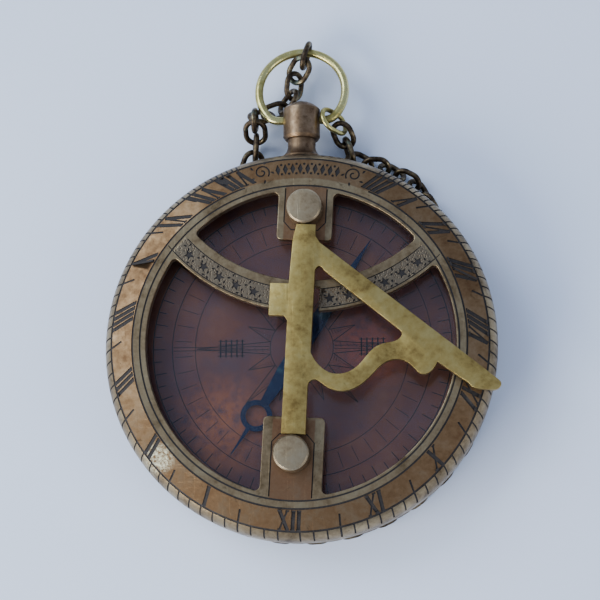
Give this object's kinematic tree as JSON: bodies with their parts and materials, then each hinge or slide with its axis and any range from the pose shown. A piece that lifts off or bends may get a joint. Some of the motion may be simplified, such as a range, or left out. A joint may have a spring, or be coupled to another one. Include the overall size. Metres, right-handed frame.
{
  "type": "pocket sundial compass",
  "caption": "Brass pocket sundial compass: engraved hour ring, folding triangular gnomon over a glazed compass, pendant, swinging bow and chain.",
  "frame": {"origin": "centre of the flat foot on the back of the case, on the surface it lies on", "axes": "+Z out of the dial, +Y from the middle of the case towards the pendant, +X to the right seen from the dial side"},
  "size_m": [0.0642, 0.0853, 0.0156],
  "materials": {
    "case_brass": "aged brass, satin",
    "dial_brass": "aged coppery brass, engraved",
    "gnomon_brass": "aged yellow brass",
    "post_brass": "worn brass",
    "bow_brass": "pale polished brass",
    "bowl_brass": "plain brass",
    "card_copper": "dark engraved card",
    "chain_bronze": "dark bronzed wire",
    "needle_steel": "blued steel",
    "jewel": "polished stone",
    "glass": "clear, dusty"
  },
  "bodies": {
    "case": {"case_body": "case_brass", "dial_ring": "dial_brass", "post_north": "post_brass", "post_south": "post_brass", "rivet_burr_north": "post_brass", "rivet_burr_south": "post_brass", "compass_bowl": "bowl_brass", "compass_card": "card_copper", "glass": "glass", "glass_ring": "bowl_brass", "pivot_boss": "bowl_brass", "pivot_pin": "needle_steel", "pendant_neck": "case_brass", "pendant_barrel": "case_brass", "chain_left_strand": "chain_bronze", "chain_rim_strand": "chain_bronze", "chain_right_strand": "chain_bronze", "chain_hook_link": "bow_brass"},
    "gnomon": {"gnomon": "gnomon_brass"},
    "needle": {"needle": "needle_steel", "needle_cap": "bowl_brass", "cap_jewel": "jewel"},
    "bow": {"bow": "bow_brass", "chain_bow_strand": "chain_bronze"}
  },
  "joints": [
    {"name": "gnomon_hinge", "type": "hinge", "parent": "case", "child": "gnomon", "pos_m": [0, 0, 0.0145], "axis": [-0.0523, -0.9986, 0], "range_deg": [0, 90]},
    {"name": "needle_turn", "type": "hinge", "parent": "case", "child": "needle", "pos_m": [0, 0, 0.007], "axis": [0, 0, 1], "continuous": true},
    {"name": "bow_hinge", "type": "hinge", "parent": "case", "child": "bow", "pos_m": [0, 0.0389, 0.006], "axis": [1, 0, 0], "range_deg": [-6, 80]}
  ]
}
